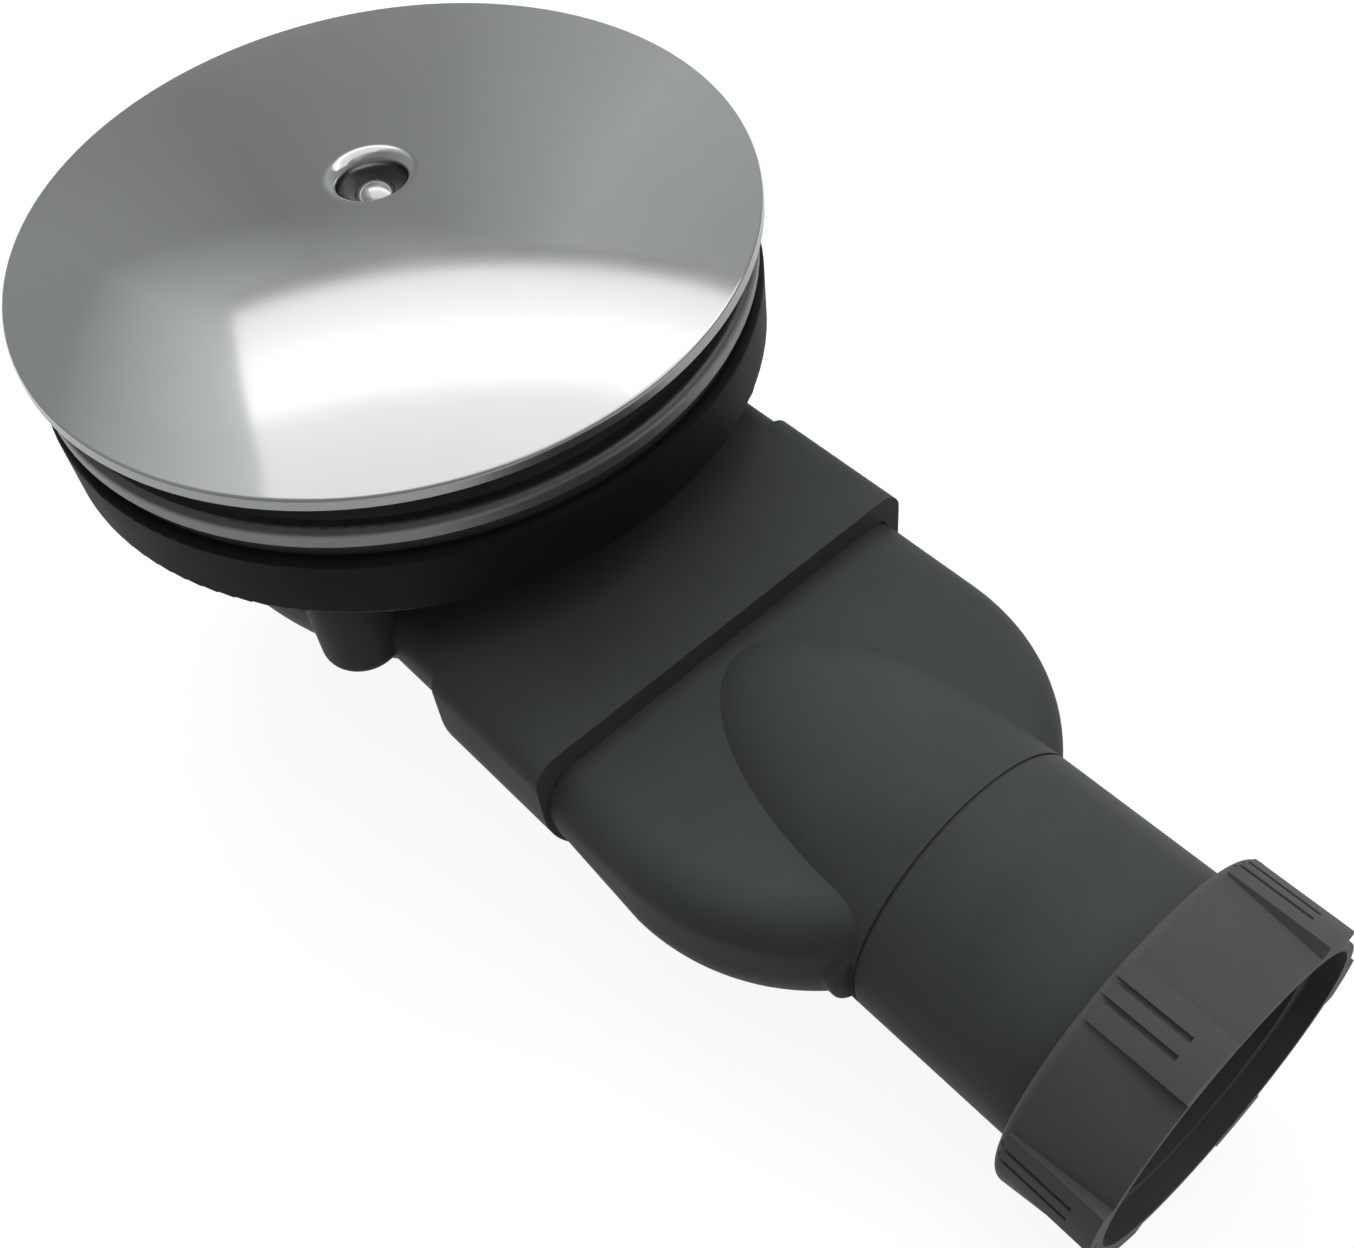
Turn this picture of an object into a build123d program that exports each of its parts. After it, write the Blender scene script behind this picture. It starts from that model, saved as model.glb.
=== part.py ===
"""Floor drain: domed chrome cover on a dished flange, trap bowl, flat channel, side outlet with hand nut.

Millimetres. Z is the drain axis, Z = 0 is the underside of the chrome flange, the outlet leaves along +X.
"""
import math
import os

from build123d import *

os.makedirs("parts", exist_ok=True)

# Domed cover and its centre recess
cover_radius = 60.0
cover_rim_z = 11.0
cover_rise = 8.4
cover_thickness = 1.5
cover_rim_depth = 1.9
cover_rim_round = 0.7
recess_radius = 5.2
recess_lip = 2.3
recess_depth = 4.4

# Cover screw
screw_hole_radius = 2.3
screw_shank_radius = 2.0
screw_head_radius = 3.2
screw_head_height = 2.2
screw_head_edge = 0.7
screw_length = 14.0

# Flange ring
cover_overhang = 1.2
flange_radius = cover_radius - cover_overhang
flange_lip_height = 3.0
flange_lip_round = 1.3
flange_dish_z = 1.0
flange_width = 14.8
flange_skirt_radius = flange_radius - flange_width
flange_ledge = 1.7
flange_bore_radius = flange_skirt_radius - flange_ledge
flange_skirt_depth = 13.0
flange_skirt_wall = 2.6
seat_width = 3.1
seat_radius = flange_bore_radius - seat_width
seat_z = -2.2
seat_height = 4.0

# Rubber rings between the flange and the collar
seal_set_back = 1.2
flange_seal_thickness = 1.2
body_seal_thickness = 1.8
seal_bore_gap = 1.0

# Dip tube and its ring seal
insert_gap = 0.25
dip_rim_thickness = 1.5
dip_neck_wall = 3.0
dip_neck_depth = 9.5
dip_funnel_step = 13.2
dip_tube_radius = seat_radius - dip_funnel_step
dip_tube_wall = 1.8
dip_funnel_depth = 10.0
dip_end_z = -59.0
o_ring_section = 0.95

# Strainer with the cover pillar
strainer_thickness = 2.2
strainer_ring_width = 4.0
spoke_count = 6
spoke_width = 3.0
pillar_radius = 7.0
pillar_depth = 5.0
bush_radius = 3.5
bush_length = 10.0

# Collar of the trap body
collar_overhang = 0.6
collar_radius = flange_radius + collar_overhang
collar_depth = 11.8
collar_skirt_wall = 2.8
collar_plate = 3.5
collar_edge_round = 1.0
thread_gap = 0.3
throat_radius = flange_skirt_radius + thread_gap
throat_wall = 2.9
throat_depth = 14.5

# Bowl
bowl_step = 0.8
bowl_radius = throat_radius + throat_wall - bowl_step
bowl_wall = 2.5
bowl_neck_z = -21.0
bowl_turn_z = -34.0
bowl_bottom_z = -71.6
bowl_foot_radius = 22.0
bowl_belly_radius = 59.7

# Round lugs under the collar
lug_circle_radius = 50.0
lug_angle = 51.0
lug_radius = 6.7
lug_bottom_z = -34.5
lug_round = 2.5

# Shallow channel from the bowl to the socket
channel_top_z = -25.8
channel_bottom_z = -45.0
channel_half_width = 37.1
channel_wall = 2.5
channel_roof = 3.0
channel_top_round = 4.5
channel_bottom_round = 13.0

# Deep rectangular socket that takes the outlet chamber
socket_start_x = 50.0
socket_end_x = 75.5
socket_half_width = 38.3
socket_bottom_z = -57.5
socket_roof = 4.7
socket_wall = 3.0
socket_floor = 2.6
socket_bottom_round = 20.0

# Largest share of a wall that a corner round may take
round_limit = 0.95

# Outlet chamber
spigot_gap = 0.2
spigot_length = 13.0
chamber_half_width = 37.3
chamber_drop = 4.5
chamber_inlet_bottom_z = -53.5
chamber_bottom_z = -61.5
chamber_end_x = 93.5
chamber_top_round = 7.0
chamber_bottom_round = 18.5
chamber_wall = 2.5

# Bullet nose and outlet pipe
outlet_z = -43.4
pipe_radius = 23.1
pipe_bore_radius = 20.25
pipe_start_x = 120.0
pipe_stop_x = 135.0
pipe_stop_step = 1.0
nose_length = 50.5
nose_wall = 2.2
seam_x = 124.2
seam_width = 0.5
seam_depth = 0.3
thread_radius = 24.3
thread_length = 7.7
mouth_depth = 4.0
mouth_step = 1.9

# Small moulded boss where the pipe leaves the chamber
boss_radius = 7.5
boss_offset = 18.2
boss_start_x = 119.5
boss_length = 4.2
boss_round = 1.0

# Hand nut, slip washer and tapered pipe seal
nut_back_x = 153.8
nut_front_x = 170.0
nut_back_radius = 27.9
nut_front_radius = 26.3
nut_recess_depth = 3.2
nut_recess_wall = 1.4
nut_thread_gap = 0.4
nut_lip = 2.0
nut_hole_radius = 20.7
nut_edge_round = 1.2
grip_count = 6
grip_angle = 111.3
grip_radius = 28.2
grip_width = 9.6
groove_offset = 1.4
groove_width = 0.8
groove_depth = 0.7
groove_share = 0.75
washer_thickness = 1.2
seal_face = 1.6
seal_gap = 0.1
seal_back_gap = 0.6
seal_lip = 1.6


def cover_height(radius):
    """Height of the cover's outer face at a distance from the axis."""
    sphere = (cover_radius**2 + cover_rise**2) / (2 * cover_rise)
    return cover_rim_z + cover_rise - sphere + math.sqrt(sphere**2 - radius**2)


def rounds_that_fit(height, half_width, top_round, bottom_round):
    """Corner radii of a section, limited so that a straight stretch of wall stays between them."""
    top_limit = round_limit * min(height, half_width)
    top_round = min(top_round, top_limit)
    bottom_limit = min(round_limit * half_width, round_limit * (height - top_round))
    return top_round, min(bottom_round, bottom_limit)


def channel_section(x, half_width, top, bottom, top_round, bottom_round):
    """Rounded rectangle across the outlet direction at the given X."""
    top_round, bottom_round = rounds_that_fit(top - bottom, half_width, top_round, bottom_round)
    with BuildSketch(Plane.YZ.offset(x)) as section:
        with Locations((0, (top + bottom) / 2)):
            Rectangle(2 * half_width, top - bottom)
        fillet(section.vertices().group_by(Axis.Y)[-1], top_round)
        fillet(section.vertices().group_by(Axis.Y)[0], bottom_round)
    return section.sketch


def half_section(x, half_width, top, bottom, top_round, bottom_round):
    """The -Y half of such a rectangle, to be turned about an upright axis."""
    top_round, bottom_round = rounds_that_fit(top - bottom, half_width, top_round, bottom_round)
    with BuildSketch(Plane.YZ.offset(x)) as section:
        with Locations((0, (top + bottom) / 2)):
            Rectangle(half_width, top - bottom, align=(Align.MAX, Align.CENTER))
        fillet(section.vertices().group_by(Axis.Y)[-1].sort_by(Axis.X)[0], top_round)
        fillet(section.vertices().group_by(Axis.Y)[0].sort_by(Axis.X)[0], bottom_round)
    return section.sketch


def nose_quarter(length, radius):
    """Quarter ellipse that turns into the bullet nose, ending where the pipe starts."""
    with BuildSketch(Plane.XZ) as quarter:
        with Locations((pipe_start_x, outlet_z)):
            Ellipse(length, radius)
            Rectangle(length, radius, align=(Align.MAX, Align.MIN), mode=Mode.INTERSECT)
    return quarter.sketch


# Levels and radii that follow from the sizes above
recess_floor_z = cover_rim_z + cover_rise - recess_depth
pillar_top_z = recess_floor_z - cover_thickness
collar_top_z = -(flange_seal_thickness + body_seal_thickness)
collar_bottom_z = collar_top_z - collar_depth
throat_bottom_z = collar_top_z - throat_depth
chamber_top_z = channel_top_z - chamber_drop
spigot_top_z = channel_top_z - socket_roof - spigot_gap
spigot_bottom_z = socket_bottom_z + socket_floor + spigot_gap
spigot_half_width = socket_half_width - socket_wall - spigot_gap
dip_rim_top_z = seat_z + dip_rim_thickness
washer_front_x = nut_front_x - nut_recess_depth - nut_lip
pipe_end_x = washer_front_x - washer_thickness - seal_face
outlet_axis = Axis((0, 0, outlet_z), (1, 0, 0))
chamber_axis = Axis((chamber_end_x, 0, 0), (0, 0, 1))
outlet_plane = Plane((0, 0, outlet_z), x_dir=(0, 1, 0), z_dir=(1, 0, 0))

# Domed cover: pressed shell with a rolled-in recess for the screw
with BuildPart() as dome_cover:
    with BuildSketch(Plane.XZ) as cover_profile:
        with BuildLine():
            lip_radius = recess_radius + recess_lip
            rim_bottom_z = cover_rim_z - cover_rim_depth
            inner_rim = cover_radius - cover_thickness
            inner_lip = recess_radius + cover_thickness
            middle = (lip_radius + cover_radius) / 2
            inner_middle = (inner_lip + inner_rim) / 2
            lip_bottom_z = cover_height(lip_radius) - recess_lip
            Polyline(
                (screw_hole_radius, recess_floor_z),
                (recess_radius, recess_floor_z),
                (recess_radius, lip_bottom_z),
            )
            RadiusArc((recess_radius, lip_bottom_z), (lip_radius, cover_height(lip_radius)), recess_lip)
            ThreePointArc(
                (lip_radius, cover_height(lip_radius)),
                (middle, cover_height(middle)),
                (cover_radius, cover_rim_z),
            )
            Polyline(
                (cover_radius, cover_rim_z),
                (cover_radius, rim_bottom_z),
                (inner_rim, rim_bottom_z),
                (inner_rim, cover_height(inner_rim) - cover_thickness),
            )
            ThreePointArc(
                (inner_rim, cover_height(inner_rim) - cover_thickness),
                (inner_middle, cover_height(inner_middle) - cover_thickness),
                (inner_lip, cover_height(inner_lip) - cover_thickness),
            )
            Polyline(
                (inner_lip, cover_height(inner_lip) - cover_thickness),
                (inner_lip, pillar_top_z),
                (screw_hole_radius, pillar_top_z),
                (screw_hole_radius, recess_floor_z),
            )
        make_face()
        fillet(cover_profile.vertices().group_by(Axis.X)[-1].sort_by(Axis.Y)[-1], cover_rim_round)
    revolve(axis=Axis.Z)

# Cover screw: domed head in the recess, shank down into the bush
with BuildPart() as cover_screw:
    with BuildSketch(Plane.XZ):
        with BuildLine():
            head_top_z = recess_floor_z + screw_head_height
            head_edge_z = recess_floor_z + screw_head_edge
            shank_end_z = recess_floor_z - screw_length
            Polyline(
                (0, head_top_z),
                (0, shank_end_z),
                (screw_shank_radius, shank_end_z),
                (screw_shank_radius, recess_floor_z),
                (screw_head_radius, recess_floor_z),
                (screw_head_radius, head_edge_z),
            )
            head_rise = head_top_z - head_edge_z
            head_sphere = (screw_head_radius**2 + head_rise**2) / (2 * head_rise)
            RadiusArc((screw_head_radius, head_edge_z), (0, head_top_z), -head_sphere)
        make_face()
    revolve(axis=Axis.Z)

# Flange ring: rounded lip, coned dish, threaded skirt and the seat for the insert
with BuildPart() as flange_ring:
    with BuildSketch(Plane.XZ) as flange_profile:
        skirt_inner = flange_skirt_radius - flange_skirt_wall
        seat_bottom_z = seat_z - seat_height
        with BuildLine():
            crest = flange_radius - 2 * flange_lip_round
            Polyline(
                (flange_bore_radius, flange_dish_z),
                (flange_bore_radius, seat_z),
                (seat_radius, seat_z),
                (seat_radius, seat_bottom_z),
                (skirt_inner, seat_bottom_z),
                (skirt_inner, -flange_skirt_depth),
                (flange_skirt_radius, -flange_skirt_depth),
                (flange_skirt_radius, 0),
                (flange_radius, 0),
                (flange_radius, flange_lip_height),
                (crest, flange_lip_height),
                close=True,
            )
        make_face()
        rim = flange_profile.vertices().group_by(Axis.X)[-1].sort_by(Axis.Y)[-1]
        fillet(rim, flange_lip_round)
    revolve(axis=Axis.Z)

# Rubber rings under the flange
seal_outer = flange_radius - seal_set_back
seal_inner = throat_radius + seal_bore_gap
with BuildPart() as flange_seal:
    with BuildSketch(Plane.XY.offset(-flange_seal_thickness)):
        Circle(seal_outer)
        Circle(seal_inner, mode=Mode.SUBTRACT)
    extrude(amount=flange_seal_thickness)

with BuildPart() as body_seal:
    with BuildSketch(Plane.XY.offset(collar_top_z)):
        Circle(seal_outer)
        Circle(seal_inner, mode=Mode.SUBTRACT)
    extrude(amount=body_seal_thickness)

# Dip tube: rim on the seat, grooved neck, funnel and tube into the bowl
neck_radius = seat_radius - insert_gap
neck_bore = neck_radius - dip_neck_wall
groove_z = seat_z - seat_height / 2
o_ring_radius = seat_radius - o_ring_section
groove_radius = o_ring_radius - o_ring_section
with BuildPart() as dip_tube:
    with BuildSketch(Plane.XZ):
        with BuildLine():
            neck_end_z = seat_z - dip_neck_depth
            funnel_end_z = neck_end_z - dip_funnel_depth
            tube_bore = dip_tube_radius - dip_tube_wall
            Polyline(
                (neck_bore, dip_rim_top_z),
                (flange_bore_radius - insert_gap, dip_rim_top_z),
                (flange_bore_radius - insert_gap, seat_z),
                (neck_radius, seat_z),
                (neck_radius, groove_z + o_ring_section),
                (groove_radius, groove_z + o_ring_section),
                (groove_radius, groove_z - o_ring_section),
                (neck_radius, groove_z - o_ring_section),
                (neck_radius, neck_end_z),
                (dip_tube_radius, funnel_end_z),
                (dip_tube_radius, dip_end_z),
                (tube_bore, dip_end_z),
                (tube_bore, funnel_end_z),
                (neck_bore, neck_end_z),
                close=True,
            )
        make_face()
    revolve(axis=Axis.Z)

with BuildPart() as dip_tube_o_ring:
    with BuildSketch(Plane.XZ):
        with Locations((o_ring_radius, groove_z)):
            Circle(o_ring_section)
    revolve(axis=Axis.Z)

# Strainer: spoked ring on the rim of the dip tube, with the pillar that carries the cover
strainer_radius = flange_bore_radius - insert_gap
with BuildPart() as strainer:
    with BuildSketch(Plane.XY.offset(dip_rim_top_z)):
        Circle(strainer_radius)
        Circle(strainer_radius - strainer_ring_width, mode=Mode.SUBTRACT)
        with PolarLocations(0, spoke_count):
            Rectangle(
                strainer_radius - strainer_ring_width / 2,
                spoke_width,
                align=(Align.MIN, Align.CENTER),
            )
    extrude(amount=strainer_thickness)
    with BuildSketch(Plane.XY.offset(dip_rim_top_z - pillar_depth)):
        Circle(pillar_radius)
    extrude(amount=pillar_top_z - dip_rim_top_z + pillar_depth)
    with BuildSketch(Plane.XY.offset(pillar_top_z)):
        Circle(bush_radius)
    extrude(amount=-bush_length, mode=Mode.SUBTRACT)
    with BuildSketch(Plane.XY.offset(pillar_top_z - bush_length)):
        Circle(screw_hole_radius)
    extrude(amount=-bush_length, mode=Mode.SUBTRACT)

# Brass bush pressed into the pillar
with BuildPart() as pillar_insert:
    with BuildSketch(Plane.XY.offset(pillar_top_z)):
        Circle(bush_radius)
        Circle(screw_hole_radius, mode=Mode.SUBTRACT)
    extrude(amount=-bush_length)

# One round lug, drawn along +X from the axis
with BuildPart() as lug:
    with BuildSketch(Plane.XY.offset(lug_bottom_z)):
        Rectangle(lug_circle_radius, 2 * lug_radius, align=(Align.MIN, Align.CENTER))
        with Locations((lug_circle_radius, 0)):
            Circle(lug_radius)
    extrude(amount=collar_top_z - collar_plate - lug_bottom_z)
    fillet(lug.faces().sort_by(Axis.Z)[0].edges().sort_by(Axis.X)[1:], lug_round)

channel_outer = channel_section(
    0, channel_half_width, channel_top_z, channel_bottom_z, channel_top_round, channel_bottom_round
)
channel_inner = channel_section(
    0,
    channel_half_width - channel_wall,
    channel_top_z - channel_roof,
    channel_bottom_z + channel_wall,
    channel_top_round - channel_wall,
    channel_bottom_round - channel_wall,
)
socket_outer = channel_section(
    socket_start_x,
    socket_half_width,
    channel_top_z,
    socket_bottom_z,
    channel_top_round,
    socket_bottom_round,
)
socket_inner = channel_section(
    socket_start_x + socket_wall,
    socket_half_width - socket_wall,
    channel_top_z - socket_roof,
    socket_bottom_z + socket_floor,
    channel_top_round - channel_wall,
    socket_bottom_round - socket_floor,
)

# Trap body: collar, bowl, lugs, shallow channel and deep socket in one moulding
with BuildPart() as trap_body:
    throat_outer = throat_radius + throat_wall
    collar_inner = collar_radius - collar_skirt_wall
    plate_bottom_z = collar_top_z - collar_plate
    with BuildSketch(Plane.XZ) as body_profile:
        with BuildLine():
            Polyline(
                (0, bowl_bottom_z),
                (0, collar_top_z),
                (collar_radius, collar_top_z),
                (collar_radius, collar_bottom_z),
                (collar_inner, collar_bottom_z),
                (collar_inner, plate_bottom_z),
                (throat_outer, plate_bottom_z),
                (throat_outer, throat_bottom_z),
                (bowl_radius, bowl_neck_z),
                (bowl_radius, bowl_turn_z),
            )
            RadiusArc((bowl_radius, bowl_turn_z), (bowl_foot_radius, bowl_bottom_z), bowl_belly_radius)
            Line((bowl_foot_radius, bowl_bottom_z), (0, bowl_bottom_z))
        make_face()
        fillet(body_profile.vertices().group_by(Axis.X)[-1], collar_edge_round)
    revolve(axis=Axis.Z)
    for lug_turn in (lug_angle, 180 - lug_angle, 180 + lug_angle, 360 - lug_angle):
        add(lug.part, rotation=(0, 0, lug_turn))
    extrude(channel_outer, amount=socket_start_x + socket_wall)
    extrude(socket_outer, amount=socket_end_x - socket_start_x)
    with BuildSketch(Plane.XZ):
        with BuildLine():
            bore = bowl_radius - bowl_wall
            floor_z = bowl_bottom_z + bowl_wall
            inner_belly = bowl_belly_radius - bowl_wall
            Polyline(
                (0, floor_z),
                (0, collar_top_z),
                (throat_radius, collar_top_z),
                (throat_radius, throat_bottom_z + bowl_wall),
                (bore, bowl_neck_z + bowl_wall),
                (bore, bowl_turn_z),
            )
            RadiusArc((bore, bowl_turn_z), (bowl_foot_radius, floor_z), inner_belly)
            Line((bowl_foot_radius, floor_z), (0, floor_z))
        make_face()
    revolve(axis=Axis.Z, mode=Mode.SUBTRACT)
    extrude(channel_inner, amount=socket_start_x + 2 * socket_wall, mode=Mode.SUBTRACT)
    extrude(socket_inner, amount=socket_end_x - socket_start_x, mode=Mode.SUBTRACT)

chamber_inlet = channel_section(
    socket_end_x,
    chamber_half_width,
    chamber_top_z,
    chamber_inlet_bottom_z,
    chamber_top_round,
    chamber_bottom_round,
)
chamber_middle = channel_section(
    chamber_end_x,
    chamber_half_width,
    chamber_top_z,
    chamber_bottom_z,
    chamber_top_round,
    chamber_bottom_round,
)
chamber_half = half_section(
    chamber_end_x,
    chamber_half_width,
    chamber_top_z,
    chamber_bottom_z,
    chamber_top_round,
    chamber_bottom_round,
)
spigot = channel_section(
    socket_end_x - spigot_length,
    spigot_half_width,
    spigot_top_z,
    spigot_bottom_z,
    channel_top_round - channel_wall,
    socket_bottom_round - socket_floor,
)
inner_inlet = channel_section(
    socket_end_x + chamber_wall,
    chamber_half_width - chamber_wall,
    chamber_top_z - chamber_wall,
    chamber_inlet_bottom_z + chamber_wall,
    chamber_top_round - chamber_wall,
    chamber_bottom_round - chamber_wall,
)
inner_middle_section = channel_section(
    chamber_end_x,
    chamber_half_width - chamber_wall,
    chamber_top_z - chamber_wall,
    chamber_bottom_z + chamber_wall,
    chamber_top_round - chamber_wall,
    chamber_bottom_round - chamber_wall,
)
inner_half = half_section(
    chamber_end_x,
    chamber_half_width - chamber_wall,
    chamber_top_z - chamber_wall,
    chamber_bottom_z + chamber_wall,
    chamber_top_round - chamber_wall,
    chamber_bottom_round - chamber_wall,
)
spigot_bore = channel_section(
    socket_end_x - spigot_length,
    spigot_half_width - chamber_wall,
    spigot_top_z - chamber_wall,
    spigot_bottom_z + chamber_wall,
    channel_top_round - channel_wall,
    socket_bottom_round - socket_floor - chamber_wall,
)

# Moulded boss beside the pipe
with BuildPart() as boss:
    with BuildSketch(outlet_plane.offset(boss_start_x)):
        with Locations((-boss_offset, 0)):
            Circle(boss_radius)
    extrude(amount=boss_length)
    fillet(boss.edges(), boss_round)

# Outlet chamber: spigot in the socket, flat-topped chamber with half-round end, bullet nose, threaded pipe
with BuildPart() as outlet_chamber:
    extrude(spigot, amount=spigot_length)
    loft([chamber_inlet, chamber_middle], ruled=True)
    revolve(chamber_half, axis=chamber_axis, revolution_arc=180)
    revolve(nose_quarter(nose_length, pipe_radius), axis=outlet_axis)
    with BuildSketch(outlet_plane.offset(pipe_start_x)):
        Circle(pipe_radius)
    extrude(amount=pipe_end_x - pipe_start_x)
    add(boss.part)
    with BuildSketch(outlet_plane.offset(pipe_end_x)):
        Circle(thread_radius)
    extrude(amount=-thread_length)
    with BuildSketch(outlet_plane.offset(seam_x)):
        Circle(pipe_radius)
        Circle(pipe_radius - seam_depth, mode=Mode.SUBTRACT)
    extrude(amount=seam_width, mode=Mode.SUBTRACT)
    extrude(spigot_bore, amount=spigot_length + chamber_wall, mode=Mode.SUBTRACT)
    loft([inner_inlet, inner_middle_section], ruled=True, mode=Mode.SUBTRACT)
    revolve(inner_half, axis=chamber_axis, revolution_arc=180, mode=Mode.SUBTRACT)
    nose_bore = nose_quarter(nose_length - nose_wall, pipe_radius - nose_wall)
    revolve(nose_bore, axis=outlet_axis, mode=Mode.SUBTRACT)
    with BuildSketch(outlet_plane.offset(pipe_start_x)):
        Circle(pipe_bore_radius - pipe_stop_step)
    extrude(amount=pipe_stop_x - pipe_start_x, mode=Mode.SUBTRACT)
    with BuildSketch(outlet_plane.offset(pipe_stop_x)):
        Circle(pipe_bore_radius)
    extrude(amount=pipe_end_x - pipe_stop_x, mode=Mode.SUBTRACT)
    with BuildSketch(outlet_plane.offset(pipe_end_x - mouth_depth)):
        Circle(pipe_bore_radius)
    with BuildSketch(outlet_plane.offset(pipe_end_x)):
        Circle(pipe_bore_radius + mouth_step)
    loft(mode=Mode.SUBTRACT)

# Hand nut: tapered body, straight grip lugs that stand proud towards the front, two grooves in each
nut_length = nut_front_x - nut_back_x
with BuildPart() as outlet_nut:
    with BuildSketch(outlet_plane.offset(nut_back_x)):
        Circle(nut_back_radius)
    with BuildSketch(outlet_plane.offset(nut_front_x)):
        Circle(nut_front_radius)
    loft()
    fillet(outlet_nut.edges().sort_by(Axis.X)[0], nut_edge_round)
    with BuildSketch(outlet_plane.offset(nut_back_x + nut_edge_round)):
        with PolarLocations(0, grip_count, start_angle=grip_angle):
            Rectangle(grip_radius, grip_width, align=(Align.MIN, Align.CENTER))
        Circle(grip_radius, mode=Mode.INTERSECT)
    extrude(amount=nut_length - nut_edge_round)
    with BuildSketch(outlet_plane.offset(nut_back_x)):
        with PolarLocations(0, grip_count, start_angle=grip_angle):
            with Locations((grip_radius, groove_offset), (grip_radius, -groove_offset)):
                Rectangle(2 * groove_depth, groove_width)
    extrude(amount=nut_length * groove_share, mode=Mode.SUBTRACT)
    with BuildSketch(outlet_plane.offset(nut_back_x)):
        Circle(thread_radius + nut_thread_gap)
    extrude(amount=washer_front_x - nut_back_x, mode=Mode.SUBTRACT)
    with BuildSketch(outlet_plane.offset(nut_front_x)):
        Circle(nut_front_radius - nut_recess_wall)
    extrude(amount=-nut_recess_depth, mode=Mode.SUBTRACT)
    with BuildSketch(outlet_plane.offset(nut_back_x)):
        Circle(nut_hole_radius)
    extrude(amount=nut_length, mode=Mode.SUBTRACT)

# Slip washer against the nut's lip
with BuildPart() as slip_washer:
    with BuildSketch(outlet_plane.offset(washer_front_x - washer_thickness)):
        Circle(thread_radius)
        Circle(nut_hole_radius, mode=Mode.SUBTRACT)
    extrude(amount=washer_thickness)

# Tapered seal in the mouth of the pipe
seal_front_x = washer_front_x - washer_thickness - seal_gap
seal_back_x = pipe_end_x - mouth_depth + seal_back_gap
seal_inner_radius = pipe_bore_radius + seal_gap
with BuildPart() as pipe_seal:
    with BuildSketch(Plane.XZ):
        with BuildLine():
            Polyline(
                (seal_back_x, outlet_z + seal_inner_radius),
                (pipe_end_x, outlet_z + pipe_bore_radius + mouth_step - seal_gap),
                (pipe_end_x + seal_gap, outlet_z + pipe_bore_radius + mouth_step + seal_lip / 2),
                (seal_front_x, outlet_z + pipe_bore_radius + mouth_step + seal_lip / 2),
                (seal_front_x, outlet_z + seal_inner_radius),
                close=True,
            )
        make_face()
    revolve(axis=outlet_axis)

pieces = {
    "dome_cover": dome_cover,
    "cover_screw": cover_screw,
    "flange_ring": flange_ring,
    "flange_seal": flange_seal,
    "body_seal": body_seal,
    "dip_tube": dip_tube,
    "dip_tube_o_ring": dip_tube_o_ring,
    "strainer": strainer,
    "pillar_insert": pillar_insert,
    "trap_body": trap_body,
    "outlet_chamber": outlet_chamber,
    "outlet_nut": outlet_nut,
    "slip_washer": slip_washer,
    "pipe_seal": pipe_seal,
}
for name, piece in pieces.items():
    piece.part.label = name
    export_step(piece.part, f"parts/{name}.step")
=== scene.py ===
"""Looks of the floor drain: chrome, moulded plastic and rubber finishes, pipe thread, studio and camera."""
import math

import bpy
from mathutils import Matrix, Vector


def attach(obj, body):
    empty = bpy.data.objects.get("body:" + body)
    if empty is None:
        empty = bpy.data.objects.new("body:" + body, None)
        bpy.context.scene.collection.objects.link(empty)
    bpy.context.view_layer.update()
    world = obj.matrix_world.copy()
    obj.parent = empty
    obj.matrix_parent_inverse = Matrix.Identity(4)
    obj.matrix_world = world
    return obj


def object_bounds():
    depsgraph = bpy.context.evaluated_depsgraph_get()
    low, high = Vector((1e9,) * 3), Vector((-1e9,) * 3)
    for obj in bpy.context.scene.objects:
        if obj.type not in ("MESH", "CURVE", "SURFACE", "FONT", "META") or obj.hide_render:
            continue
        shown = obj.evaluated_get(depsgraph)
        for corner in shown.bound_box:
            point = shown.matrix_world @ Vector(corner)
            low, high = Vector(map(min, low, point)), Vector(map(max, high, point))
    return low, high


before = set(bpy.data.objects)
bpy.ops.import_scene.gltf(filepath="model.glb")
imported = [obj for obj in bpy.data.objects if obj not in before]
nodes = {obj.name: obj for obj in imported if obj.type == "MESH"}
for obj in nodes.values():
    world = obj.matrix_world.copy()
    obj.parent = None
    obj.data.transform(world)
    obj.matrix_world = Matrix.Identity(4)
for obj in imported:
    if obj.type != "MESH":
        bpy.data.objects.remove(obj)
cad_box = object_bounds()

# Camera fitted to the photo, in metres
EYE = Vector((0.1947, -0.0958, 0.1705))
IMAGE_RIGHT = Vector((0.66939, 0.73781, -0.08692))
IMAGE_UP = Vector((-0.54982, 0.57069, 0.60993))
SENSOR_WIDTH = 36.0
LENS = 43.56
SHIFT_X = 0.0026
SHIFT_Y = 0.0022
NEAREST_SEEN = 0.01

# Colours, linear
CHROME_COLOUR = (0.74, 0.755, 0.755)
STEEL_COLOUR = (0.72, 0.72, 0.71)
BRASS_COLOUR = (0.72, 0.55, 0.26)
FLANGE_COLOUR = (0.165, 0.167, 0.163)
BODY_COLOUR = (0.075, 0.085, 0.081)
NUT_COLOUR = (0.110, 0.116, 0.111)
INSERT_COLOUR = (0.080, 0.086, 0.083)
RUBBER_COLOUR = (0.012, 0.012, 0.012)
FLOOR_COLOUR = (0.22, 0.22, 0.22)
SHELL_TINT = (0.97, 1.0, 1.0)
WHITE = (1.0, 1.0, 1.0, 1.0)

# Roughness of the glossiest and of the dullest places
CHROME_ROUGHNESS = (0.06, 0.11)
FLANGE_ROUGHNESS = (0.42, 0.50)
STEEL_ROUGHNESS = (0.12, 0.22)
BRASS_ROUGHNESS = (0.18, 0.28)
BODY_ROUGHNESS = (0.52, 0.62)
NUT_ROUGHNESS = (0.50, 0.60)
INSERT_ROUGHNESS = (0.52, 0.62)
RUBBER_ROUGHNESS = (0.65, 0.85)
FLOOR_ROUGHNESS = 0.9
# Roughness added to the polish where shade is painted on the cover
PAINTED_SHADE_ROUGHNESS = 0.35
PLASTIC_GLOSS = 0.06
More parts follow.
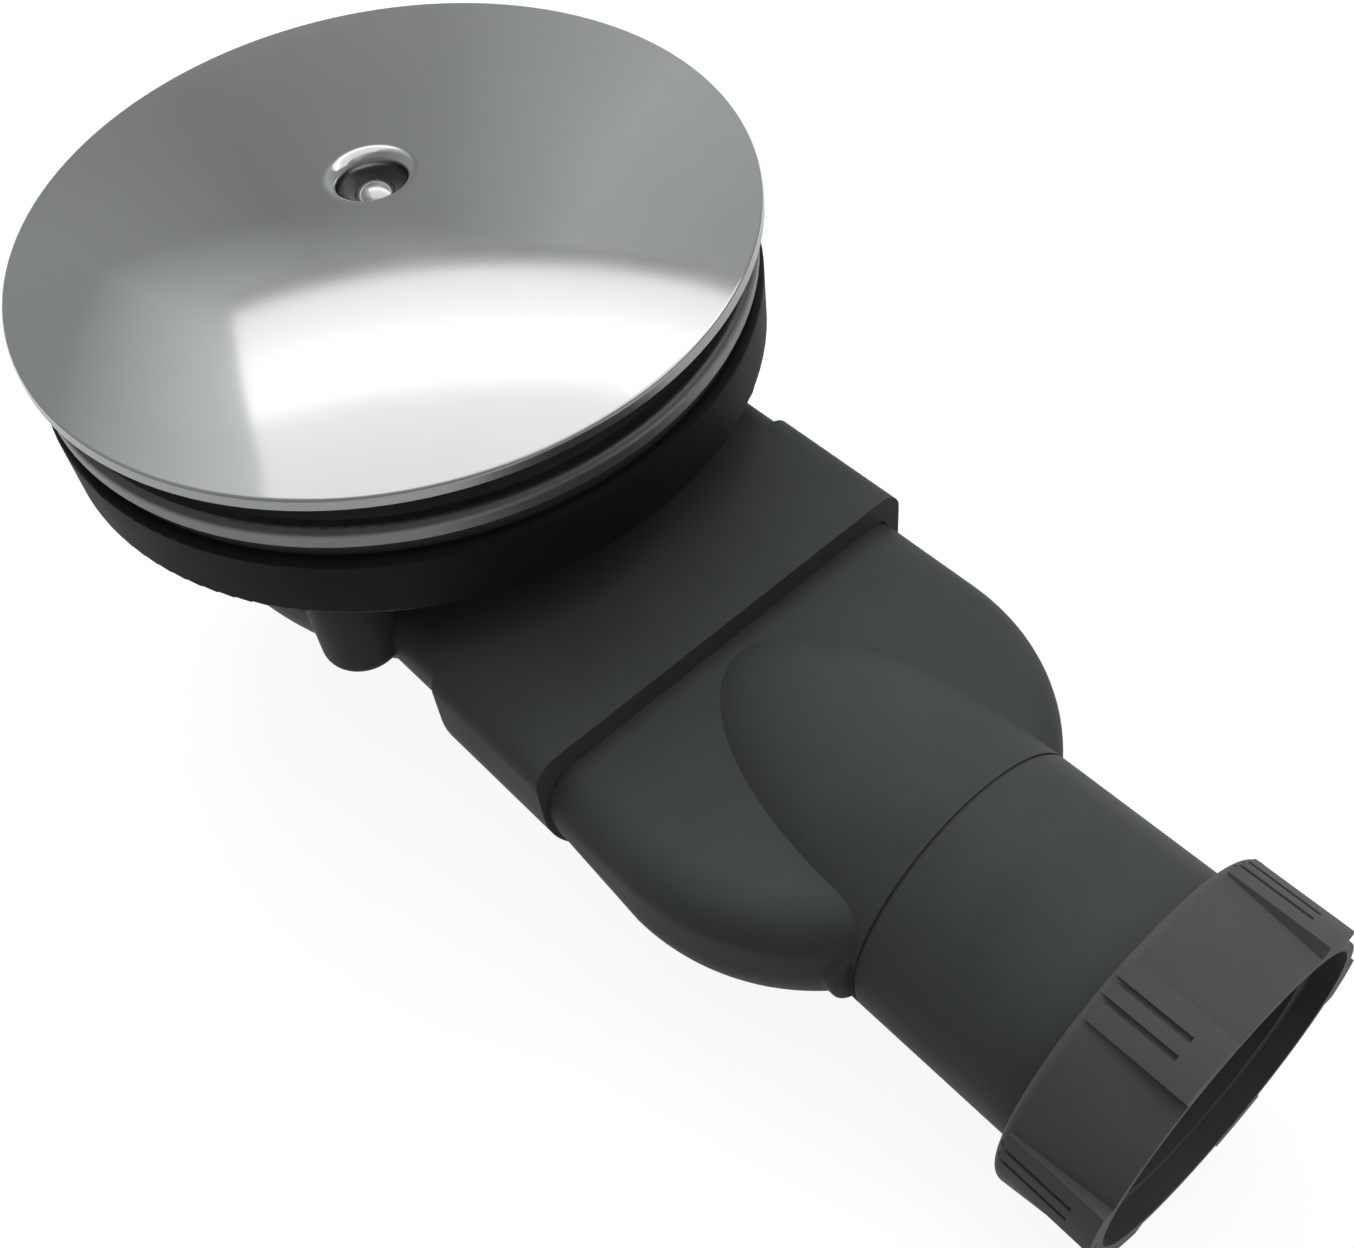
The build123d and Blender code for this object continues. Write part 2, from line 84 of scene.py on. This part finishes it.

# Share of the colour kept where shade is painted: on the cover's edge, in its recess, under it and on the
# collar
EDGE_PAINTED_SHADE = 0.36
RECESS_PAINTED_SHADE = 0.45
UNDER_PAINTED_SHADE = 0.80
COLLAR_PAINTED_SHADE = 0.19

# Places on the part where the painted shade begins and ends, in metres
COVER_EDGE_RADIUS = 0.0594
RECESS_EDGE_RADIUS = 0.0053
COLLAR_FOOT = -0.0185
COLLAR_SIDE = -0.0145
BLUR = 0.0003

# Upward share of the normal where the edge and the underside of the cover begin to end and have ended
EDGE_FACING = (0.3, 0.6)
UNDER_FACING = (-0.1, -0.02)

# Noise: the values it mostly lies between, its cells per metre, and the tones it makes
NOISE_LOW = 0.3
NOISE_HIGH = 0.7
NOISE_DETAIL = 4.0
NOISE_ROUGHNESS = 0.55
SMEAR_SCALE = 45.0
SMEAR_DETAIL = 6.0
SMEAR_TONES = (0.97, 1.0)
WAVE_SCALE = 25.0
WAVE_DETAIL = 1.0
CLOUD_SCALE = 60.0
CLOUD_DETAIL = 5.0
CLOUD_TONES = (0.93, 1.07)
GRAIN_SCALE = 2600.0
GRAIN_DETAIL = 2.0
BLOOM_SCALE = 300.0
BLOOM_TONES = (0.8, 1.4)
SKIN_SCALE = 1800.0

# Height of the fine relief, in metres
COVER_WAVE = 0.00003
FLANGE_WAVE = 0.00002
STEEL_WAVE = 0.00001
BRASS_WAVE = 0.00001
PLASTIC_GRAIN = 0.00004
RUBBER_SKIN = 0.00003

# Thread on the end of the outlet pipe, in metres
OUTLET_HEIGHT = -0.0434
THREAD_START = 0.1553
THREAD_TURNS = 2.5
THREAD_PITCH = 0.002309
THREAD_ROOT = 0.0242
THREAD_CREST = 0.0246
THREAD_FOOT = 0.0016
THREAD_TIP = 0.0005
# Steps in a turn, steps over which the ridge grows, and the share of its height that it starts with
THREAD_STEPS = 96
THREAD_FADE = 16
THREAD_LEAST = 0.1

# Studio: a bright panel overhead, two soft lamps and a large grey shell that the chrome mirrors
PANEL_HEIGHT = 0.80
PANEL_CORNER = Vector((-0.806, 0.063, PANEL_HEIGHT))
PANEL_LONG = Vector((0.622, 0.782, 0.0))
PANEL_SHORT = Vector((0.909, -0.416, 0.0))
PANEL_LENGTH = 1.50
PANEL_WIDTH = 0.98
PANEL_RADIANCE = 1.5
# Grey of the panel from its outer edge to its inner one
PANEL_GREYS = ((0.0, 0.20), (0.05, 0.35), (0.09, 0.72), (0.17, 0.80), (0.27, 0.95), (0.37, 0.95))
PANEL_GREYS += ((0.415, 0.74), (0.60, 0.64), (1.0, 0.58))
KEY_PLACE = Vector((-0.345, 0.290, 0.72))
KEY_SIZE = 0.70
KEY_POWER = 4.0
FILL_PLACE = Vector((-0.74, -0.30, 0.02))
FILL_SIZE = 0.50
FILL_POWER = 1.8
SHELL_RADIUS = 2.5
SHELL_RINGS = 24
SHELL_SEGMENTS = 64
# Extra light at the top of the shell, from and to these shares of its height, less so to the sides
SHELL_LIFT = 1.6
SHELL_LIFT_START = 0.50
SHELL_LIFT_END = 0.88
SHELL_LIFT_NARROWING = 0.6
# Grey of the shell round the compass, as turns from -X through -Y, +X and +Y back to -X
SHELL_GREYS = ((0.0, 0.30), (0.12, 0.28), (0.28, 0.22), (0.45, 0.23), (0.60, 0.29), (0.75, 0.32))
SHELL_GREYS += ((0.83, 0.42), (0.86, 0.45), (0.91, 0.28), (0.955, 0.235), (1.0, 0.30))
WORLD_LEVEL = 0.30
FLOOR_RADIUS = 2.3
FLOOR_SIDES = 96
FLOOR_GLOW = 0.90


def new_material(name):
    """A node material with its tree and its Principled shader."""
    material = bpy.data.materials.new(name)
    material.use_nodes = True
    tree = material.node_tree
    return material, tree, tree.nodes["Principled BSDF"]


def glowing_material(name):
    """A material that only gives off light, with its tree and its emission node."""
    material, tree, shader = new_material(name)
    tree.nodes.remove(shader)
    emission = tree.nodes.new("ShaderNodeEmission")
    tree.links.new(emission.outputs["Emission"], tree.nodes["Material Output"].inputs["Surface"])
    return material, tree, emission


def object_place(tree):
    """Place on the object, in metres."""
    return tree.nodes.new("ShaderNodeTexCoord").outputs["Object"]


def noise(tree, place, scale, detail=NOISE_DETAIL):
    """Noise of the given number of cells per metre."""
    texture = tree.nodes.new("ShaderNodeTexNoise")
    texture.inputs["Scale"].default_value = scale
    texture.inputs["Detail"].default_value = detail
    texture.inputs["Roughness"].default_value = NOISE_ROUGHNESS
    tree.links.new(place, texture.inputs["Vector"])
    return texture.outputs["Fac"]


def spread(tree, value, low, high, start=NOISE_LOW, end=NOISE_HIGH):
    """The value mapped from start..end onto low..high."""
    mapping = tree.nodes.new("ShaderNodeMapRange")
    mapping.inputs["From Min"].default_value = start
    mapping.inputs["From Max"].default_value = end
    mapping.inputs["To Min"].default_value = low
    mapping.inputs["To Max"].default_value = high
    tree.links.new(value, mapping.inputs["Value"])
    return mapping.outputs["Result"]


def tinted(tree, value, colour, tones):
    """The colour ramped between two shares of itself."""
    ramp = tree.nodes.new("ShaderNodeValToRGB")
    for stop, position, tone in zip(ramp.color_ramp.elements, (NOISE_LOW, NOISE_HIGH), tones):
        stop.position = position
        stop.color = [c * tone for c in colour] + [1.0]
    tree.links.new(value, ramp.inputs["Fac"])
    return ramp.outputs["Color"]


def grey_ramp(tree, value, greys):
    """Greys at given shares of the way from 0 to 1."""
    ramp = tree.nodes.new("ShaderNodeValToRGB")
    stops = ramp.color_ramp.elements
    while len(stops) < len(greys):
        stops.new(0.5)
    for stop, (position, grey) in zip(stops, greys):
        stop.position = position
        stop.color = (grey, grey, grey, 1.0)
    tree.links.new(value, ramp.inputs["Fac"])
    return ramp.outputs["Color"]


def split(tree, vector):
    """The X, Y and Z of a vector, by name."""
    axes = tree.nodes.new("ShaderNodeSeparateXYZ")
    tree.links.new(vector, axes.inputs["Vector"])
    return axes.outputs


def computed(tree, operation, *values):
    """Result of a math node on other nodes' values and plain numbers."""
    node = tree.nodes.new("ShaderNodeMath")
    node.operation = operation
    for place, value in zip(node.inputs, values):
        if isinstance(value, float):
            place.default_value = value
        else:
            tree.links.new(value, place)
    return node.outputs["Value"]


def scaled(tree, colour, factor):
    """A colour times a value."""
    scale = tree.nodes.new("ShaderNodeVectorMath")
    scale.operation = "SCALE"
    tree.links.new(colour, scale.inputs[0])
    tree.links.new(factor, scale.inputs["Scale"])
    return scale.outputs["Vector"]


def distance_from_axis(tree, place):
    """Distance of a place from the drain's upright axis."""
    axes = split(tree, place)
    flat = tree.nodes.new("ShaderNodeCombineXYZ")
    tree.links.new(axes["X"], flat.inputs["X"])
    tree.links.new(axes["Y"], flat.inputs["Y"])
    length = tree.nodes.new("ShaderNodeVectorMath")
    length.operation = "LENGTH"
    tree.links.new(flat.outputs["Vector"], length.inputs[0])
    return length.outputs["Value"]


def bump(tree, shader, pattern, height):
    """Fine relief on a shader, with its height in metres."""
    relief = tree.nodes.new("ShaderNodeBump")
    relief.inputs["Distance"].default_value = height
    tree.links.new(pattern, relief.inputs["Height"])
    tree.links.new(relief.outputs["Normal"], shader.inputs["Normal"])


def seen_rays(tree):
    """1 for rays that show a thing to the camera, straight or mirrored, and 0 for rays that only light."""
    path = tree.nodes.new("ShaderNodeLightPath")
    seen = path.outputs["Is Camera Ray"]
    for ray in ("Is Glossy Ray", "Is Transmission Ray"):
        seen = computed(tree, "MAXIMUM", seen, path.outputs[ray])
    return seen


def metal(name, colour, roughness, wave):
    """Polished or satin metal with faint smears in its gloss and a slight waviness."""
    material, tree, shader = new_material(name)
    place = object_place(tree)
    shader.inputs["Metallic"].default_value = 1.0
    smears = noise(tree, place, SMEAR_SCALE, SMEAR_DETAIL)
    tree.links.new(spread(tree, smears, *roughness), shader.inputs["Roughness"])
    tree.links.new(tinted(tree, smears, colour, SMEAR_TONES), shader.inputs["Base Color"])
    bump(tree, shader, noise(tree, place, WAVE_SCALE, WAVE_DETAIL), wave)
    return material


def cover_chrome(name, colour, roughness, wave):
    """Polished chrome on the cover's top, with painted shade that darkens and dulls it in the recess,
    underneath and on the edge.
    """
    material, tree, shader = new_material(name)
    place = object_place(tree)
    shader.inputs["Metallic"].default_value = 1.0
    reach = distance_from_axis(tree, place)
    facing = split(tree, tree.nodes.new("ShaderNodeNewGeometry").outputs["True Normal"])["Z"]
    # Masks of the painted shade: the cover's steep outer edge, the recess round the axis and the underside
    rim = spread(tree, reach, 0.0, 1.0, COVER_EDGE_RADIUS, COVER_EDGE_RADIUS + BLUR)
    edge = computed(tree, "MULTIPLY", rim, spread(tree, facing, 1.0, 0.0, *EDGE_FACING))
    recess = spread(tree, reach, 1.0, 0.0, RECESS_EDGE_RADIUS, RECESS_EDGE_RADIUS + BLUR)
    under = spread(tree, facing, 1.0, 0.0, *UNDER_FACING)
    # Painted shade darkens the colour on these masks
    painted_shade = spread(tree, edge, 1.0, EDGE_PAINTED_SHADE, 0.0, 1.0)
    for area, share in ((recess, RECESS_PAINTED_SHADE), (under, UNDER_PAINTED_SHADE)):
        painted_shade = computed(tree, "MULTIPLY", painted_shade, spread(tree, area, 1.0, share, 0.0, 1.0))
    smears = noise(tree, place, SMEAR_SCALE, SMEAR_DETAIL)
    tone = tinted(tree, smears, colour, SMEAR_TONES)
    tree.links.new(scaled(tree, tone, painted_shade), shader.inputs["Base Color"])
    polish = spread(tree, smears, *roughness)
    # Roughness rises where the shade is painted
    dullness = computed(tree, "MULTIPLY_ADD", painted_shade, -PAINTED_SHADE_ROUGHNESS, PAINTED_SHADE_ROUGHNESS)
    tree.links.new(computed(tree, "ADD", polish, dullness), shader.inputs["Roughness"])
    bump(tree, shader, noise(tree, place, WAVE_SCALE, WAVE_DETAIL), wave)
    return material


def plastic(name, colour, roughness, collar_painted_shade=None):
    """Matt moulded plastic with a cloudy tone and a fine grain, with painted shade darkening the collar if
    its share is given.
    """
    material, tree, shader = new_material(name)
    place = object_place(tree)
    shader.inputs["Specular IOR Level"].default_value = PLASTIC_GLOSS
    clouds = noise(tree, place, CLOUD_SCALE, CLOUD_DETAIL)
    tone = tinted(tree, clouds, colour, CLOUD_TONES)
    # Painted shade: darker from the collar's foot upwards, under the overhanging cover
    if collar_painted_shade is not None:
        painted_shade = spread(tree, split(tree, place)["Z"], 1.0, collar_painted_shade, COLLAR_FOOT, COLLAR_SIDE)
        tone = scaled(tree, tone, painted_shade)
    tree.links.new(tone, shader.inputs["Base Color"])
    tree.links.new(spread(tree, clouds, *roughness), shader.inputs["Roughness"])
    bump(tree, shader, noise(tree, place, GRAIN_SCALE, GRAIN_DETAIL), PLASTIC_GRAIN)
    return material


def rubber(name, colour, roughness):
    """Soft black rubber with a dusty bloom."""
    material, tree, shader = new_material(name)
    place = object_place(tree)
    bloom = noise(tree, place, BLOOM_SCALE)
    tree.links.new(tinted(tree, bloom, colour, BLOOM_TONES), shader.inputs["Base Color"])
    tree.links.new(spread(tree, bloom, *roughness), shader.inputs["Roughness"])
    bump(tree, shader, noise(tree, place, SKIN_SCALE), RUBBER_SKIN)
    return material


def add_mesh(name, points, faces, material):
    """A mesh object of the given points and faces, in one material."""
    mesh = bpy.data.meshes.new(name)
    mesh.from_pydata(points, [], faces)
    mesh.materials.append(material)
    made = bpy.data.objects.new(name, mesh)
    bpy.context.scene.collection.objects.link(made)
    return made


def thread_shape():
    """Points and faces of a ridge that winds round the pipe end and runs out at both ends."""
    points = []
    faces = []
    steps = round(THREAD_TURNS * THREAD_STEPS)
    for step in range(steps + 1):
        angle = 2 * math.pi * step / THREAD_STEPS
        middle = THREAD_START + THREAD_PITCH * step / THREAD_STEPS
        grown = max(THREAD_LEAST, min(1.0, step / THREAD_FADE, (steps - step) / THREAD_FADE))
        crest = THREAD_ROOT + (THREAD_CREST - THREAD_ROOT) * grown
        section = [(-THREAD_FOOT, THREAD_ROOT), (-THREAD_TIP, crest)]
        section += [(THREAD_TIP, crest), (THREAD_FOOT, THREAD_ROOT)]
        for width, radius in section:
            across = radius * math.cos(angle)
            up = OUTLET_HEIGHT + radius * math.sin(angle)
            points.append((middle + width / 2, across, up))
    corners = len(section)
    for step in range(steps):
        for corner in range(corners):
            here = corners * step + corner
            beside = corners * step + (corner + 1) % corners
            faces.append((here, here + corners, beside + corners, beside))
    faces.append(tuple(range(corners)))
    faces.append(tuple(reversed(range(corners * steps, corners * (steps + 1)))))
    return points, faces


def shell_shape():
    """Points and faces of half a sphere, open below."""
    points = []
    faces = []
    for ring in range(SHELL_RINGS + 1):
        rise = math.pi / 2 * ring / SHELL_RINGS
        for segment in range(SHELL_SEGMENTS):
            angle = 2 * math.pi * segment / SHELL_SEGMENTS
            flat = SHELL_RADIUS * math.cos(rise)
            points.append((flat * math.cos(angle), flat * math.sin(angle), SHELL_RADIUS * math.sin(rise)))
    for ring in range(SHELL_RINGS):
        for segment in range(SHELL_SEGMENTS):
            low = ring * SHELL_SEGMENTS + segment
            beside = ring * SHELL_SEGMENTS + (segment + 1) % SHELL_SEGMENTS
            faces.append((low, beside, beside + SHELL_SEGMENTS, low + SHELL_SEGMENTS))
    return points, faces


def soft_lamp(name, place, size, power):
    """A square lamp aimed at the middle of the part, not mirrored in it."""
    data = bpy.data.lights.new(name, "AREA")
    data.shape = "SQUARE"
    data.size = size
    data.energy = power
    lamp = bpy.data.objects.new(name, data)
    bpy.context.scene.collection.objects.link(lamp)
    lamp.location = place
    lamp.rotation_mode = "QUATERNION"
    lamp.rotation_quaternion = ((cad_box[0] + cad_box[1]) / 2 - place).to_track_quat("-Z", "Y")
    lamp.visible_camera = False
    lamp.visible_glossy = False


# Finishes of the CAD nodes
# The cover's chrome carries painted shade on its edge, in its recess and underneath
chrome = cover_chrome("chrome", CHROME_COLOUR, CHROME_ROUGHNESS, COVER_WAVE)
flange_steel = metal("flange_steel", FLANGE_COLOUR, FLANGE_ROUGHNESS, FLANGE_WAVE)
steel = metal("screw_steel", STEEL_COLOUR, STEEL_ROUGHNESS, STEEL_WAVE)
brass = metal("brass", BRASS_COLOUR, BRASS_ROUGHNESS, BRASS_WAVE)
# The body's plastic carries painted shade on its collar
body_plastic = plastic("body_plastic", BODY_COLOUR, BODY_ROUGHNESS, COLLAR_PAINTED_SHADE)
nut_plastic = plastic("nut_plastic", NUT_COLOUR, NUT_ROUGHNESS)
insert_plastic = plastic("insert_plastic", INSERT_COLOUR, INSERT_ROUGHNESS)
black_rubber = rubber("rubber", RUBBER_COLOUR, RUBBER_ROUGHNESS)
finishes = {
    "dome_cover": chrome,
    "flange_ring": flange_steel,
    "cover_screw": steel,
    "pillar_insert": brass,
    "trap_body": body_plastic,
    "outlet_chamber": body_plastic,
    "outlet_nut": nut_plastic,
    "dip_tube": insert_plastic,
    "strainer": insert_plastic,
    "slip_washer": insert_plastic,
    "flange_seal": black_rubber,
    "body_seal": black_rubber,
    "dip_tube_o_ring": black_rubber,
    "pipe_seal": black_rubber,
}
for node, finish in finishes.items():
    slots = nodes[node].data.materials
    slots.clear()
    slots.append(finish)

# Thread ridge on the pipe end
pipe_thread = add_mesh("pipe_thread", *thread_shape(), body_plastic)
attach(pipe_thread, "drain")

# Floor that the bowl stands on, nearly white where it is seen or mirrored
floor_z = cad_box[0].z
floor_material, floor_tree, floor_shader = new_material("floor")
floor_shader.inputs["Base Color"].default_value = [*FLOOR_COLOUR, 1.0]
floor_shader.inputs["Roughness"].default_value = FLOOR_ROUGHNESS
floor_shader.inputs["Emission Color"].default_value = WHITE
floor_glow = spread(floor_tree, seen_rays(floor_tree), 0.0, FLOOR_GLOW, 0.0, 1.0)
floor_tree.links.new(floor_glow, floor_shader.inputs["Emission Strength"])
turns = [2 * math.pi * side / FLOOR_SIDES for side in range(FLOOR_SIDES)]
floor_points = [(FLOOR_RADIUS * math.cos(a), FLOOR_RADIUS * math.sin(a), floor_z) for a in turns]
floor = add_mesh("floor", floor_points, [tuple(range(FLOOR_SIDES))], floor_material)

# Bright panel overhead, brightest along its outer part
panel_along = PANEL_LONG * PANEL_LENGTH
panel_across = PANEL_SHORT * PANEL_WIDTH
panel_far = PANEL_CORNER + panel_along
panel_points = [PANEL_CORNER, panel_far, panel_far + panel_across, PANEL_CORNER + panel_across]
panel_material, panel_tree, panel_emission = glowing_material("panel")
panel_emission.inputs["Strength"].default_value = PANEL_RADIANCE
inward = Vector((PANEL_LONG.y, -PANEL_LONG.x, 0.0))
outer_edge = inward.dot(PANEL_CORNER)
inner_edge = outer_edge + inward.dot(panel_across)
depth = panel_tree.nodes.new("ShaderNodeVectorMath")
depth.operation = "DOT_PRODUCT"
depth.inputs[1].default_value = inward
panel_tree.links.new(object_place(panel_tree), depth.inputs[0])
panel_share = spread(panel_tree, depth.outputs["Value"], 0.0, 1.0, outer_edge, inner_edge)
panel_tree.links.new(grey_ramp(panel_tree, panel_share, PANEL_GREYS), panel_emission.inputs["Color"])
panel = add_mesh("panel", panel_points, [(0, 1, 2, 3)], panel_material)
panel.visible_camera = False

# Key lamp just below the panel, and a low fill lamp for the side of the body
soft_lamp("key", KEY_PLACE, KEY_SIZE, KEY_POWER)
soft_lamp("fill", FILL_PLACE, FILL_SIZE, FILL_POWER)

# Grey shell round the studio, lighter overhead along X
shell_material, shell_tree, shell_emission = glowing_material("shell")
shell_emission.inputs["Color"].default_value = [*SHELL_TINT, 1.0]
axes = split(shell_tree, object_place(shell_tree))
compass = computed(shell_tree, "ARCTAN2", axes["Y"], axes["X"])
compass_turn = spread(shell_tree, compass, 0.0, 1.0, -math.pi, math.pi)
sideways = computed(shell_tree, "ABSOLUTE", axes["Y"])
height = computed(shell_tree, "MULTIPLY_ADD", sideways, -SHELL_LIFT_NARROWING, axes["Z"])
lift_start = SHELL_LIFT_START * SHELL_RADIUS
lift_end = SHELL_LIFT_END * SHELL_RADIUS
lift = spread(shell_tree, height, 1.0, 1.0 + SHELL_LIFT, lift_start, lift_end)
level = computed(shell_tree, "MULTIPLY", grey_ramp(shell_tree, compass_turn, SHELL_GREYS), lift)
shell_tree.links.new(level, shell_emission.inputs["Strength"])
shell = add_mesh("shell", *shell_shape(), shell_material)
shell.location.z = floor_z
shell.visible_camera = False

# World: white where it is seen or mirrored, a plain level where it lights
world = bpy.data.worlds.new("studio")
world.use_nodes = True
bpy.context.scene.world = world
sky = world.node_tree
background = sky.nodes["Background"]
background.inputs["Color"].default_value = WHITE
world_level = spread(sky, seen_rays(sky), WORLD_LEVEL, 1.0, 0.0, 1.0)
sky.links.new(world_level, background.inputs["Strength"])

# Camera
camera_data = bpy.data.cameras.new("camera")
camera_data.sensor_width = SENSOR_WIDTH
camera_data.lens = LENS
camera_data.shift_x = SHIFT_X
camera_data.shift_y = SHIFT_Y
camera_data.clip_start = NEAREST_SEEN
camera = bpy.data.objects.new("camera", camera_data)
bpy.context.scene.collection.objects.link(camera)
back = IMAGE_RIGHT.cross(IMAGE_UP)
turn = Matrix((IMAGE_RIGHT, IMAGE_UP, back)).transposed().to_4x4()
camera.matrix_world = Matrix.Translation(EYE) @ turn
bpy.context.scene.camera = camera

bpy.context.scene.view_settings.view_transform = "Standard"
